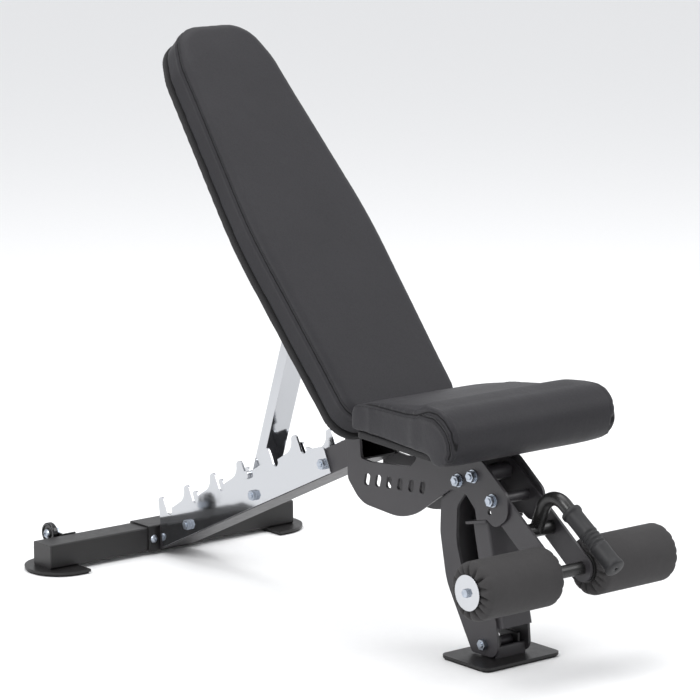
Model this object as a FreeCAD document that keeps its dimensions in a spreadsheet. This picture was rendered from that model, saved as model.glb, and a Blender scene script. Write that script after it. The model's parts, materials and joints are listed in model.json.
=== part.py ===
import FreeCAD, Part
import math
import os

V = FreeCAD.Vector
doc = FreeCAD.newDocument("weight_bench")

# ---------------------------------------------------------------- sizes (mm and degrees)
# X runs forward along the bench from the rear cross tube, Y runs across it, Z is up from the floor.
SIZES = {
    "cross_length": 570.0,
    "cross_depth": 56.0,
    "cross_height": 46.0,
    "tube_wall": 3.0,
    "rubber_thick": 3.5,
    "foot_thick": 5.0,
    "foot_half_depth": 68.0,
    "foot_inner_y": 224.0,
    "foot_arc_y": 246.0,
    "wheel_dia": 42.0,
    "wheel_width": 12.0,
    "wheel_y": 229.0,
    "wheel_back": 60.0,
    "wheel_z": 53.0,
    "axle_bolt_dia": 10.0,
    "saddle_half_width": 64.0,
    "saddle_thick": 3.0,
    "spine_angle": 25.0,
    "spine_width": 76.0,
    "spine_height": 46.0,
    "spine_length": 675.0,
    "ladder_thick": 4.0,
    "ladder_pitch": 90.5,
    "ladder_first": 68.5,
    "ladder_notch_h": 61.0,
    "ladder_tip_h": 92.0,
    "strut_pin_dia": 15.0,
    "notch_clear": 0.9,
    "pin_lift": 0.3,
    "ladder_end": 580.0,
    "bolt_dia": 10.0,
    "bolt_clear": 0.3,
    "cheek_thick": 5.0,
    "arm_thick": 5.0,
    "arm_width": 47.0,
    "pivot_x": 611.0,
    "pivot_z": 362.0,
    "shaft_dia": 16.0,
    "hinge_tube_dia": 28.0,
    "fit_clear": 0.05,
    "back_angle": 48.0,
    "back_foot_end": 60.0,
    "back_head_end": 799.0,
    "back_foot_half": 128.0,
    "back_belly_half": 141.0,
    "back_belly_at": 350.0,
    "back_shoulder_half": 108.0,
    "back_shoulder_at": 715.0,
    "back_head_half": 80.0,
    "back_pad_thick": 59.0,
    "board_thick": 12.0,
    "board_face": 33.0,
    "rail_thick": 8.0,
    "rail_inner_y": 25.5,
    "strut_at": 274.0,
    "strut_drop": 20.0,
    "strut_width": 45.0,
    "strut_thick": 23.0,
    "leg_web_half": 33.0,
    "post_top_x": 949.0,
    "post_top_z": 238.0,
    "post_lean": 13.4,
    "post_depth": 42.0,
    "post_length": 182.0,
    "foot_x": 967.0,
    "foot_depth": 121.0,
    "foot_width": 172.0,
    "foot_bracket_deep": 44.0,
    "foot_bolt_z": 30.0,
    "axle_x": 1129.0,
    "axle_z": 185.0,
    "axle_dia": 22.0,
    "roller_dia": 100.0,
    "roller_inner_y": 44.0,
    "roller_outer_y": 215.0,
    "core_wall": 4.0,
    "disc_dia": 60.0,
    "disc_bolt_dia": 8.0,
    "handle_dia": 24.0,
    "grip_dia": 32.0,
    "grip_length": 126.0,
    "seat_back_x": 734.0,
    "seat_front_x": 1056.0,
    "seat_under_z": 366.0,
    "seat_back_half": 147.0,
    "seat_front_half": 184.0,
    "seat_pivot_x": 809.0,
    "seat_pivot_z": 349.0,
    "seat_rod_dia": 12.0,
    "side_gap": 0.4,
    "tab_thick": 4.0,
    "screw_dia": 6.0,
}
sheet = doc.addObject("Spreadsheet::Sheet", "Sizes")
for row, (alias, value) in enumerate(SIZES.items(), start=1):
    sheet.set("A%d" % row, alias)
    sheet.set("B%d" % row, str(value))
    sheet.setAlias("B%d" % row, alias)
doc.recompute()


def size(alias):
    """Value of one named cell of the sheet."""
    return float(sheet.get(alias))


nodes = []


def rounded(corners):
    """Lines and arcs of a closed outline from corners (x, y, radius)."""
    count = len(corners)
    cuts = []
    for i in range(count):
        here = V(corners[i][0], corners[i][1], 0)
        before = V(corners[i - 1][0], corners[i - 1][1], 0)
        after = V(corners[(i + 1) % count][0], corners[(i + 1) % count][1], 0)
        to_before = (before - here).normalize()
        to_after = (after - here).normalize()
        radius = corners[i][2]
        half = to_before.getAngle(to_after) / 2
        if radius <= 0 or half > math.pi / 2 - 0.001:
            cuts.append((here, None, here))
            continue
        back = radius / math.tan(half)
        middle = (to_before + to_after).normalize()
        centre = here + middle * (radius / math.sin(half))
        cuts.append((here + to_before * back, centre - middle * radius, here + to_after * back))
    edges = []
    for i in range(count):
        start, top, end = cuts[i]
        if top is not None:
            edges.append(Part.Arc(start, top, end))
        following = cuts[(i + 1) % count][0]
        if end.distanceToPoint(following) > 0.0001:
            edges.append(Part.LineSegment(end, following))
    return edges


def new_body(name):
    """An empty body that becomes the node of that name."""
    made = doc.addObject("PartDesign::Body", name)
    made.Label = name
    nodes.append(made)
    return made


def new_sketch(body, plane, shapes):
    """A sketch on one of the body's own origin planes."""
    made = body.newObject("Sketcher::SketchObject", "sketch")
    base = [part for part in body.Origin.OriginFeatures if part.Role == plane][0]
    made.AttachmentSupport = (base, [""])
    made.MapMode = "FlatFace"
    for one in shapes:
        made.addGeometry(one, False)
    return made


def pad(body, shapes, length, plane="XZ_Plane"):
    """Material of the given thickness (an expression on the sheet), half to each side of the plane."""
    made = body.newObject("PartDesign::Pad", "pad")
    made.Profile = new_sketch(body, plane, shapes)
    made.SideType = "Symmetric"
    made.setExpression("Length", length)
    doc.recompute()
    return made


def cut(body, shapes, length=900, plane="XZ_Plane"):
    """An opening of the given depth, half to each side of the plane."""
    made = body.newObject("PartDesign::Pocket", "cut")
    made.Profile = new_sketch(body, plane, shapes)
    made.SideType = "Symmetric"
    if isinstance(length, str):
        made.setExpression("Length", length)
    else:
        made.Length = length
    doc.recompute()
    return made


def ring(x, y, radius):
    """A circle for a sketch."""
    return Part.Circle(V(x, y, 0), V(0, 0, 1), radius)


def place(made, x=0.0, y=0.0, z=0.0, tilt=0.0):
    """Moves a node, turned about the Y direction by tilt degrees."""
    made.Placement = FreeCAD.Placement(V(x, y, z), FreeCAD.Rotation(V(0, 1, 0), tilt))


def plate(name, corners, holes, thick, y, frame=(0.0, 0.0, 0.0)):
    """A flat plate standing in the XZ plane: outline corners, holes (x, z, radius), middle at y."""
    made = new_body(name)
    pad(made, rounded(corners), thick)
    if holes:
        cut(made, [ring(x, z, radius) for x, z, radius in holes])
    place(made, frame[0], y, frame[1], frame[2])
    return made


def group(name, solids):
    """One node made of several separate solids."""
    made = doc.addObject("Part::Feature", name)
    made.Label = name
    made.Shape = Part.makeCompound(solids) if len(solids) > 1 else solids[0]
    nodes.append(made)
    return made


def rod(x, z, y_from, y_to, radius, bore=0.0):
    """A round bar or tube across the bench."""
    low = min(y_from, y_to)
    long = abs(y_to - y_from)
    made = Part.makeCylinder(radius, long, V(x, low, z), V(0, 1, 0))
    if bore > 0:
        made = made.cut(Part.makeCylinder(bore, long, V(x, low, z), V(0, 1, 0)))
    return made


def dome(x, z, y, side, radius, height):
    """A domed bolt head whose flat side lies at y and whose crown points to side (-1 or 1)."""
    ball = (radius * radius + height * height) / (2 * height)
    made = Part.makeSphere(ball, V(x, y + side * (height - ball), z))
    keep = Part.makeCylinder(radius, height, V(x, min(y, y + side * height), z), V(0, 1, 0))
    made = made.common(keep)
    socket = Part.makeCylinder(radius * 0.36, height * 0.55, V(x, y + side * height * 0.45, z), V(0, side, 0))
    return made.cut(socket)


def nut(x, z, y, side, across, height):
    """A hexagonal nut standing from y towards side."""
    corner = across / math.sqrt(3)
    points = []
    for k in range(7):
        turn = math.radians(60 * k)
        points.append(V(x + corner * math.cos(turn), y, z + corner * math.sin(turn)))
    made = Part.Face(Part.makePolygon(points)).extrude(V(0, side * height, 0))
    return made.removeSplitter()


def washer(x, z, y, side, radius, bore, height):
    """A flat washer standing from y towards side."""
    return rod(x, z, y, y + side * height, radius, bore)


def through_bolt(x, z, half, head_radius, head_height, across, with_washers, bolt_radius):
    """Far-side domed head, shank across the bench, nut on the near side, as one solid."""
    thick = 2.0 if with_washers else 0.0
    head = dome(x, z, -half - thick, -1, head_radius, head_height)
    shank = rod(x, z, -half - thick - 0.01, half + thick + 10, bolt_radius)
    end = nut(x, z, half + thick, 1, across, 8.0)
    made = head.fuse([shank, end]).removeSplitter()
    return made.mirror(V(0, 0, 0), V(0, 1, 0))


wall = size("tube_wall")
bolt_r = size("bolt_dia") / 2
hole_r = bolt_r + size("bolt_clear")
angle = size("spine_angle")

# ---------------------------------------------------------------- rear base
cross_half = size("cross_length") / 2
depth_half = size("cross_depth") / 2
foot_top = size("rubber_thick") + size("foot_thick")
cross_mid_z = foot_top + size("cross_height") / 2
saddle_bolt_y = 52.0

cross = new_body("rear_cross_tube")
high = size("cross_height") / 2
outer = [(-depth_half, -high, 4), (depth_half, -high, 4), (depth_half, high, 4), (-depth_half, high, 4)]
inner = [(-depth_half + wall, -high + wall, 1), (depth_half - wall, -high + wall, 1),
         (depth_half - wall, high - wall, 1), (-depth_half + wall, high - wall, 1)]
pad(cross, rounded(outer), "Sizes.cross_length")
cut(cross, rounded(inner))
cut(cross, [ring(-saddle_bolt_y, 0, hole_r), ring(saddle_bolt_y, 0, hole_r)], plane="YZ_Plane")
place(cross, 0, 0, cross_mid_z)

caps = []
for side in (-1, 1):
    plug = Part.makeBox(size("cross_depth") - 2 * wall - 0.8, 16, size("cross_height") - 2 * wall - 0.8,
                        V(-depth_half + wall + 0.4, side * cross_half - 8 - side * 8,
                          cross_mid_z - high + wall + 0.4))
    lid = Part.makeBox(size("cross_depth"), 2.5, size("cross_height"),
                       V(-depth_half, side * cross_half - 1.25 + side * 1.25, cross_mid_z - high))
    lid = lid.makeFillet(3.9, [edge for edge in lid.Edges if abs(edge.tangentAt(0).y) > 0.99])
    caps.append(lid.fuse(plug).removeSplitter())
group("rear_end_caps", caps)


def d_plate(side, inset, bottom, thick):
    """D-shaped foot: straight side towards the middle, round side outward."""
    half = size("foot_half_depth") - inset
    inner_y = size("foot_inner_y") + inset
    arc_y = size("foot_arc_y")
    out_y = arc_y + half
    edges = [
        Part.makeLine(V(-half, inner_y, 0), V(half, inner_y, 0)),
        Part.makeLine(V(half, inner_y, 0), V(half, arc_y, 0)),
        Part.Arc(V(half, arc_y, 0), V(0, out_y, 0), V(-half, arc_y, 0)).toShape(),
        Part.makeLine(V(-half, arc_y, 0), V(-half, inner_y, 0)),
    ]
    made = Part.Face(Part.Wire(edges)).extrude(V(0, 0, thick))
    if side < 0:
        made = made.mirror(V(0, 0, 0), V(0, 1, 0))
    made.translate(V(0, 0, bottom))
    return made


group("rear_foot_plates", [d_plate(side, 0, size("rubber_thick"), size("foot_thick")) for side in (-1, 1)])
group("rear_foot_pads", [d_plate(side, 3, 0, size("rubber_thick")) for side in (-1, 1)])

wheel_x = -size("wheel_back")
wheel_z = size("wheel_z")
wheel_r = size("wheel_dia") / 2
wheel_half = size("wheel_width") / 2
pin_r = size("axle_bolt_dia") / 2
brackets = []
wheel_bolts = []
for side in (-1, 1):
    inner_y = side * (size("wheel_y") - wheel_half - 1.0)
    arm = Part.makeBox(size("wheel_back") - depth_half, 4, 15,
                       V(wheel_x, min(inner_y, inner_y - side * 4), wheel_z - 12))
    lobe = rod(wheel_x, wheel_z, inner_y, inner_y - side * 4, 12)
    flange = Part.makeBox(4, 30, 25, V(-depth_half - 4, min(inner_y, inner_y - side * 30), wheel_z - 22))
    whole = arm.fuse([lobe, flange]).removeSplitter()
    whole = whole.cut(rod(wheel_x, wheel_z, inner_y + side, inner_y - side * 40, pin_r + 0.3))
    brackets.append(whole.common(Part.makeBox(200, 800, 60, V(wheel_x - 100, -400, foot_top + 5))))
    head_y = side * (size("wheel_y") + wheel_half + 1.0)
    head = dome(wheel_x, wheel_z, head_y, side, 9, 5)
    shank = rod(wheel_x, wheel_z, head_y, inner_y - side * 12, pin_r)
    end = nut(wheel_x, wheel_z, inner_y - side * 4, -side, 16, 7)
    wheel_bolts.append(head.fuse([shank, end]).removeSplitter())
group("wheel_brackets", brackets)
group("wheel_bolts", wheel_bolts)

for name, side in (("wheel_near", -1), ("wheel_far", 1)):
    wheel = new_body(name)
    bore = pin_r + size("fit_clear")
    section = [(bore, -wheel_half, 0), (10, -wheel_half, 0), (11, -wheel_half + 2, 0), (wheel_r - 6, -wheel_half + 2, 0),
               (wheel_r - 5, -wheel_half, 0), (wheel_r, -wheel_half, 3), (wheel_r, wheel_half, 3),
               (wheel_r - 5, wheel_half, 0), (wheel_r - 6, wheel_half - 2, 0), (11, wheel_half - 2, 0),
               (10, wheel_half, 0), (bore, wheel_half, 0)]
    turned = wheel.newObject("PartDesign::Revolution", "turned")
    turned.Profile = new_sketch(wheel, "XY_Plane", rounded(section))
    turned.ReferenceAxis = (turned.Profile[0], ["V_Axis"])
    turned.Angle = 360
    doc.recompute()
    place(wheel, wheel_x, side * size("wheel_y"), wheel_z)

# ---------------------------------------------------------------- saddle and spine
saddle = new_body("rear_saddle")
lip = size("saddle_thick")
front = depth_half
wrap = [(front, -high - 1, 0), (front + lip, -high - 1, 0), (front + lip, high + lip, 3.5),
        (-front - lip, high + lip, 3.5), (-front - lip, -high - 1, 0), (-front, -high - 1, 0), (-front, high, 0),
        (front, high, 0)]
pad(saddle, rounded(wrap), "2 * Sizes.saddle_half_width")
cut(saddle, [ring(-saddle_bolt_y, 0, hole_r), ring(saddle_bolt_y, 0, hole_r)], plane="YZ_Plane")
place(saddle, 0, 0, cross_mid_z)


def lengthwise_bolt(y, z, front_x, back_x):
    """A bolt along the bench with its domed head in front and its nut behind."""
    made = dome(0, 0, 0, -1, 8.0, 5.0)
    made = made.fuse([rod(0, 0, -0.01, front_x - back_x + 10, bolt_r), nut(0, 0, front_x - back_x, 1, 16, 8)])
    made = made.removeSplitter()
    made.rotate(V(0, 0, 0), V(0, 0, 1), 90)
    made.translate(V(front_x, y, z))
    return made


group("saddle_bolts", [lengthwise_bolt(y, cross_mid_z, front + lip, -front - lip)
                       for y in (-saddle_bolt_y, saddle_bolt_y)])

spine_x = front + lip
spine_z = foot_top
turn = (spine_x, spine_z, -angle)
lean = math.tan(math.radians(angle))
tall = size("spine_height")
reach = size("spine_length")
spine = new_body("spine_tube")
side_view = [(0, 0, 0), (reach, 0, 0), (reach, tall, 0), (tall * lean, tall, 0)]
hollow = [(-20, wall, 0), (reach + 20, wall, 0), (reach + 20, tall - wall, 0), (-20, tall - wall, 0)]
pad(spine, rounded(side_view), "Sizes.spine_width")
cut(spine, rounded(hollow), "Sizes.spine_width - 2 * Sizes.tube_wall")
ladder_bolt_h = 21.0
ladder_bolt_s = [118.0, 342.5, 567.0]
cut(spine, [ring(s, ladder_bolt_h, hole_r) for s in ladder_bolt_s])
place(spine, turn[0], 0, turn[1], turn[2])

# ---------------------------------------------------------------- ladder plates
notch_r = size("strut_pin_dia") / 2 + size("notch_clear")
notch_h = size("ladder_notch_h")
tip_h = size("ladder_tip_h")
pitch = size("ladder_pitch")
teeth = [size("ladder_first") + pitch * k for k in range(6)]
end_s = size("ladder_end")
steps = [(end_s, 1, 6), (end_s, 50, 10), (teeth[5] + notch_r + 14, 56, 6)]
outline = [(16, 1, 3)] + steps
for k in range(5, -1, -1):
    s = teeth[k]
    outline.append((s + notch_r, notch_h + 3, 2))
    outline.append((s + notch_r, notch_h - notch_r, notch_r * 0.98))
    outline.append((s - notch_r, notch_h - notch_r, notch_r * 0.98))
    outline.append((s - notch_r, notch_h + 9, 7))
    outline.append((s - notch_r - 2, tip_h, 7.2))
    outline.append((s - notch_r - 17, tip_h - 1, 7.2))
    if k > 0:
        outline.append((s - notch_r - 23, notch_h + 8, 26))
        outline.append((teeth[k - 1] + notch_r + 4, notch_h + 3, 12))
spine_half = size("spine_width") / 2
plate_y = spine_half + size("ladder_thick") / 2
ladder_holes = [(s, ladder_bolt_h, hole_r) for s in ladder_bolt_s]
plate("ladder_plate_near", outline, ladder_holes, "Sizes.ladder_thick", -plate_y, turn)
plate("ladder_plate_far", outline, ladder_holes, "Sizes.ladder_thick", plate_y, turn)


def on_spine(s, h):
    """Bench position (x, z) of a point given along and square to the spine."""
    c = math.cos(math.radians(angle))
    d = math.sin(math.radians(angle))
    return spine_x + s * c - h * d, spine_z + s * d + h * c


bolts = []
for s in ladder_bolt_s:
    x, z = on_spine(s, ladder_bolt_h)
    bolts.append(through_bolt(x, z, spine_half + size("ladder_thick"), 10.5, 6.0, 17, False, bolt_r))
group("ladder_bolts", bolts)

# ---------------------------------------------------------------- cheek plates
pivot_x = size("pivot_x")
pivot_z = size("pivot_z")
cheek_t = size("cheek_thick")
cheek_y = spine_half + cheek_t / 2
bolt_spots = [(904.0, 305.0), (942.0, 319.0), (992.0, 286.0)]
seat_px = size("seat_pivot_x")
seat_pz = size("seat_pivot_z")
cheek = [(588, 385, 22), (589, 340, 30), (604, 314, 30), (606, 254, 16), (643, 217, 60), (768, 209, 130), (884, 286, 24),
         (922, 286, 22), (947, 262, 6), (951, 244.2, 2), (977, 250.4, 2), (998, 238, 20), (1030, 262, 24), (1028, 300, 22),
         (968, 345, 10), (950, 354, 6), (836, 364, 3), (794, 364, 12), (793, 322, 8), (778, 306, 20), (669, 295, 8),
         (642, 297, 6), (638, 340, 20), (634, 385, 22)]
cheek_holes = [(x, z, hole_r) for x, z in bolt_spots]
cheek_holes.append((pivot_x, pivot_z, size("shaft_dia") / 2))
cheek_holes.append((seat_px, seat_pz, size("seat_rod_dia") / 2 + size("fit_clear")))
for name, side in (("cheek_plate_near", -1), ("cheek_plate_far", 1)):
    made = plate(name, cheek, cheek_holes, "Sizes.cheek_thick", side * cheek_y)
    slots = []
    for k in range(6):
        x = 650.0 + 30 * k
        z = 251.0 + 2.6 * k
        slots += rounded([(x, z, 5), (x + 14, z, 5), (x + 19, z + 22, 5), (x + 5, z + 22, 5)])
    cut(made, slots)
    cut(made, rounded([(977, 262, 3), (990, 258, 3), (984, 274, 3)]))

inside = spine_half
arm_t = size("arm_thick")
inner_y = inside - arm_t
outside = inside + cheek_t
cheek_bolts = [through_bolt(x, z, outside, 9.0, 6.0, 17, True, bolt_r) for x, z in bolt_spots]
group("cheek_bolts", cheek_bolts)
washers = []
for x, z in bolt_spots:
    for side in (-1, 1):
        washers.append(washer(x, z, side * outside, side, 11.5, bolt_r + 0.2, 2.0))
group("cheek_washers", washers)
spacer_radii = [11.0, 14.0, 9.0]
group("spacer_tubes", [rod(x, z, -inner_y, inner_y, radius, hole_r)
                       for (x, z), radius in zip(bolt_spots, spacer_radii)])

# ---------------------------------------------------------------- front leg
foot_x = size("foot_x")
foot_bolt_z = size("foot_bolt_z")
leg = [(887, 323, 16.5), (921, 323, 16.5), (921, 290, 15), (895, 258, 20), (893, 196, 80), (928, 94, 30), (996, 84, 14),
       (1003, 10.5, 20), (936, 10.5, 8), (868, 122, 110), (851, 205, 70), (853, 262, 14), (887, 290, 20)]
leg_holes = [(bolt_spots[0][0], bolt_spots[0][1], hole_r), (foot_x, foot_bolt_z, hole_r)]
leg_y = inner_y + arm_t / 2
plate("leg_plate_near", leg, leg_holes, "Sizes.arm_thick", -leg_y)
plate("leg_plate_far", leg, leg_holes, "Sizes.arm_thick", leg_y)

web_out = [(853, 286, 1), (853, 205, 68), (870, 122, 108), (902, 68, 0)]
web_in = [(906, 70, 0), (874, 124, 104), (857, 205, 64), (857, 286, 1)]
web = new_body("leg_web")
pad(web, rounded(web_out + web_in), "2 * Sizes.leg_web_half")
place(web)

lean_angle = size("post_lean")
post = new_body("front_post")
post_half = size("post_depth") / 2
post_w = inner_y
outer = [(-post_half, -post_w, 5), (post_half, -post_w, 5), (post_half, post_w, 5), (-post_half, post_w, 5)]
inner = [(-post_half + wall, -post_w + wall, 2), (post_half - wall, -post_w + wall, 2),
         (post_half - wall, post_w - wall, 2), (-post_half + wall, post_w - wall, 2)]
pad(post, rounded(outer), "Sizes.post_length", "XY_Plane")
cut(post, rounded(inner), 600, "XY_Plane")
tilt = math.radians(lean_angle)
long_half = size("post_length") / 2
place(post, size("post_top_x") + long_half * math.sin(tilt), 0, size("post_top_z") - long_half * math.cos(tilt),
      -lean_angle)
cap = new_body("post_top_plate")
pad(cap, rounded([(-29, -outside, 4), (27, -outside, 4), (27, outside, 4), (-29, outside, 4)]), "Sizes.foot_thick", "XY_Plane")
place(cap, size("post_top_x") - 2.5 * math.sin(tilt), 0, size("post_top_z") + 2.5 * math.cos(tilt), -lean_angle)

lug_y = 24.0
foot = new_body("front_foot_bracket")
channel = [(-lug_y, 0, 0), (-lug_y, 36, 0), (-lug_y + 5, 36, 0), (-lug_y + 5, 5, 3), (lug_y - 5, 5, 3), (lug_y - 5, 36, 0),
           (lug_y, 36, 0), (lug_y, 0, 0)]
made = foot.newObject("PartDesign::Pad", "pad")
made.Profile = new_sketch(foot, "YZ_Plane", rounded(channel))
made.SideType = "Symmetric"
made.setExpression("Length", "Sizes.foot_bracket_deep")
doc.recompute()
cut(foot, [ring(0, foot_bolt_z - foot_top, hole_r)])
place(foot, foot_x, 0, foot_top)
wall_x = foot_x + size("foot_bracket_deep") / 2
front = Part.makeBox(4, 2 * inner_y, 21, V(wall_x, -inner_y, foot_top))
front = front.makeFillet(3.5, [e for e in front.Edges if e.BoundBox.XMin > wall_x + 3.9 and e.BoundBox.ZMin > foot_top + 20])
foot_plate = new_body("front_foot_plate")
fd = size("foot_depth") / 2
fw = size("foot_width") / 2
pad(foot_plate, rounded([(-fd, -fw, 14), (fd, -fw, 14), (fd, fw, 14), (-fd, fw, 14)]), "Sizes.foot_thick", "XY_Plane")
place(foot_plate, foot_x, 0, size("rubber_thick") + size("foot_thick") / 2)
foot_pad = new_body("front_foot_pad")
pad(foot_pad, rounded([(-fd + 3, -fw + 3, 11), (fd - 3, -fw + 3, 11), (fd - 3, fw - 3, 11), (-fd + 3, fw - 3, 11)]),
    "Sizes.rubber_thick", "XY_Plane")
place(foot_pad, foot_x, 0, size("rubber_thick") / 2)
group("foot_spacers", [rod(foot_x, foot_bolt_z, -lug_y + 5, lug_y - 5, 9, hole_r),
                       rod(foot_x, foot_bolt_z, lug_y, inner_y, 9, hole_r),
                       rod(foot_x, foot_bolt_z, -lug_y, -inner_y, 9, hole_r),
                       front])
group("foot_bolt", [through_bolt(foot_x, foot_bolt_z, inside, 9.0, 5.5, 17, False, bolt_r)])

# ---------------------------------------------------------------- hold-down arms, handle and rollers
axle_x = size("axle_x")
axle_z = size("axle_z")
arm_half = size("arm_width") / 2
end_x, end_z = bolt_spots[2]
slope = math.atan2(axle_z - end_z, axle_x - end_x)
gap = math.hypot(axle_x - end_x, axle_z - end_z)
arm_turn = (end_x, end_z, -math.degrees(slope))
back_x = (bolt_spots[1][0] - end_x) * math.cos(slope) + (bolt_spots[1][1] - end_z) * math.sin(slope)
back_h = -(bolt_spots[1][0] - end_x) * math.sin(slope) + (bolt_spots[1][1] - end_z) * math.cos(slope)
bar = [(back_x - 18, -arm_half, arm_half * 0.95), (gap + arm_half, -arm_half, arm_half * 0.95), (gap + arm_half, arm_half, arm_half * 0.95),
       (back_x - 18, arm_half, arm_half * 0.95)]
axle_r = size("axle_dia") / 2
bar_holes = [(0, 0, hole_r), (back_x, back_h, hole_r), (gap, 0, axle_r)]
plate("hold_down_arm_near", bar, bar_holes, "Sizes.arm_thick", -leg_y, arm_turn)
plate("hold_down_arm_far", bar, bar_holes, "Sizes.arm_thick", leg_y, arm_turn)

cross_x = end_x + 76 * math.cos(slope)
cross_z = end_z + 76 * math.sin(slope)
handle_r = size("handle_dia") / 2
bend = [V(cross_x, 0, cross_z), V(1087, 0, 322), V(1247, 0, 213)]
bend_r = 36.0
first = (bend[0] - bend[1]).normalize()
second = (bend[2] - bend[1]).normalize()
half_turn = first.getAngle(second) / 2
leg_in = bend_r / math.tan(half_turn)
middle = (first + second).normalize()
centre = bend[1] + middle * (bend_r / math.sin(half_turn))
path = Part.Wire([
    Part.makeLine(bend[0], bend[1] + first * leg_in),
    Part.Arc(bend[1] + first * leg_in, centre - middle * bend_r, bend[1] + second * leg_in).toShape(),
    Part.makeLine(bend[1] + second * leg_in, bend[2] - second * 8.0),
])
round_bar = Part.Wire([Part.makeCircle(handle_r, bend[0], bend[1] - bend[0])])
handle = path.makePipeShell([round_bar], True, False)
cross_bar = rod(cross_x, cross_z, -inner_y, inner_y, 12.0)
handle = handle.cut(cross_bar)
group("handle_cross_tube", [rod(cross_x, cross_z, -inner_y, inner_y, 12.0, 9.5)])
group("handle_tube", [handle.Solids[0]])
grip_from = bend[2] - second * size("grip_length")
grip_r = size("grip_dia") / 2
grip = Part.makeCylinder(grip_r, size("grip_length"), grip_from, second)
grip = grip.makeFillet(3.0, grip.Edges[0:1] + grip.Edges[2:3])
collar = Part.makeCylinder(grip_r + 2, 7, grip_from, second)
grip = grip.fuse(collar).removeSplitter()
grip = grip.cut(Part.makeCylinder(handle_r + 0.02, size("grip_length") - 8 + 0.02, grip_from, second))
grip = grip.cut(Part.makeCylinder(2.5, 40, bend[2] - second * 20, second))
group("handle_grip", [grip])

far = size("roller_outer_y")
near = size("roller_inner_y")
group("roller_axle", [rod(axle_x, axle_z, -far - 1, far + 1, axle_r, axle_r - 2.5)])
group("roller_flanges", [rod(axle_x, axle_z, side * (inside + 1), side * (near - 0.6), 26, axle_r) for side in (-1, 1)])
discs = []
for side in (-1, 1):
    disc = rod(axle_x, axle_z, side * (far + 1), side * (far + 4), size("disc_dia") / 2)
    plug = rod(axle_x, axle_z, side * (far - 24), side * (far + 1), axle_r - 2.6)
    bore = rod(axle_x, axle_z, side * (far - 25), side * (far + 5), size("disc_bolt_dia") / 2)
    discs.append(disc.fuse(plug).removeSplitter().cut(bore))
group("roller_end_discs", discs)
end_bolts = []
for side in (-1, 1):
    shank = rod(axle_x, axle_z, side * (far - 20), side * (far + 4), size("disc_bolt_dia") / 2)
    end_bolts.append(nut(axle_x, axle_z, side * (far + 4), side, 13, 5.5).fuse(shank).removeSplitter())
group("roller_end_bolts", end_bolts)
core_r = axle_r + size("core_wall")
roller_r = size("roller_dia") / 2
for side, word in ((-1, "near"), (1, "far")):
    group("roller_core_" + word, [rod(axle_x, axle_z, side * near, side * far, core_r, axle_r + 0.06)])
    foam = new_body("foam_roller_" + word)
    foam_half = (far - near) / 2 - 0.5
    section = [(core_r, -foam_half, 0), (roller_r, -foam_half, 9), (roller_r, foam_half, 9), (core_r, foam_half, 0)]
    turned = foam.newObject("PartDesign::Revolution", "turned")
    turned.Profile = new_sketch(foam, "XY_Plane", rounded(section))
    turned.ReferenceAxis = (turned.Profile[0], ["V_Axis"])
    turned.Angle = 360
    doc.recompute()
    place(foam, axle_x, side * (near + far) / 2, axle_z)

# ---------------------------------------------------------------- backrest (local X towards the seat, Z out of the pad)
back = size("back_angle")
back_turn = (pivot_x, pivot_z, back)
foot_end = size("back_foot_end")
head_end = size("back_head_end")
face = size("board_face")
board_t = size("board_thick")
pad_t = size("back_pad_thick")


def back_outline(inset):
    """Barrel-shaped outline of the backrest, seen square to its face: square foot, bowed sides, round head."""
    foot_y = size("back_foot_half") - inset
    belly_y = size("back_belly_half") - inset
    shoulder_y = size("back_shoulder_half") - inset
    head_y = size("back_head_half") - inset
    belly = -size("back_belly_at")
    shoulder = -size("back_shoulder_at")
    near = [(foot_end - inset, -foot_y, 50), (foot_end - inset, foot_y, 50)]
    side = [(belly, belly_y, 1100), (shoulder, shoulder_y, 130), (-head_end + inset, head_y, 66)]
    return rounded(near + side + [(x, -y, radius) for x, y, radius in reversed(side)])


def back_place(made, height):
    """Puts a backrest layer whose mid-plane is at the given height over the pivot."""
    t = math.radians(back)
    place(made, pivot_x + height * math.sin(t), 0, pivot_z + height * math.cos(t), back)


board = new_body("back_board")
pad(board, back_outline(1), "Sizes.board_thick", "XY_Plane")
back_place(board, face + board_t / 2)
cushion = new_body("back_pad")
pad(cushion, back_outline(0), "Sizes.back_pad_thick", "XY_Plane")
edges = ["Edge%d" % (k + 1) for k, edge in enumerate(cushion.Shape.Edges)
         if abs(edge.BoundBox.ZLength) < 0.01]
soft = cushion.newObject("PartDesign::Fillet", "soft_edges")
soft.Base = (cushion.Tip, edges)
soft.Radius = 17
doc.recompute()
back_place(cushion, face + board_t + 0.3 + pad_t / 2)

rail_in = size("rail_inner_y")
rail_mid = rail_in + size("rail_thick") / 2
strut_at = size("strut_at")
strut_drop = size("strut_drop")
tube_r = size("hinge_tube_dia") / 2
rail = [(18, -18, 18), (22, face, 4), (-600, face, 4), (-600, face - 26, 12), (-strut_at - 60, 6, 30), (-strut_at, 0, 20),
        (-strut_at + 60, 6, 30), (-40, 6, 30), (-18, -18, 18)]
rail_holes = [(0, 0, tube_r), (-strut_at, strut_drop, hole_r)]
plate("back_rail_near", rail, rail_holes, "Sizes.rail_thick", -rail_mid, back_turn)
plate("back_rail_far", rail, rail_holes, "Sizes.rail_thick", rail_mid, back_turn)
shaft_r = size("shaft_dia") / 2
reach_y = inside - size("side_gap")
group("back_hinge_tube", [rod(pivot_x, pivot_z, -reach_y, reach_y, tube_r, shaft_r + size("fit_clear"))])
shaft = rod(pivot_x, pivot_z, -outside, outside, shaft_r)
for side in (-1, 1):
    shaft = shaft.fuse(nut(pivot_x, pivot_z, side * outside, side, 24, 7))
group("back_hinge_shaft", [shaft.removeSplitter()])


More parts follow.
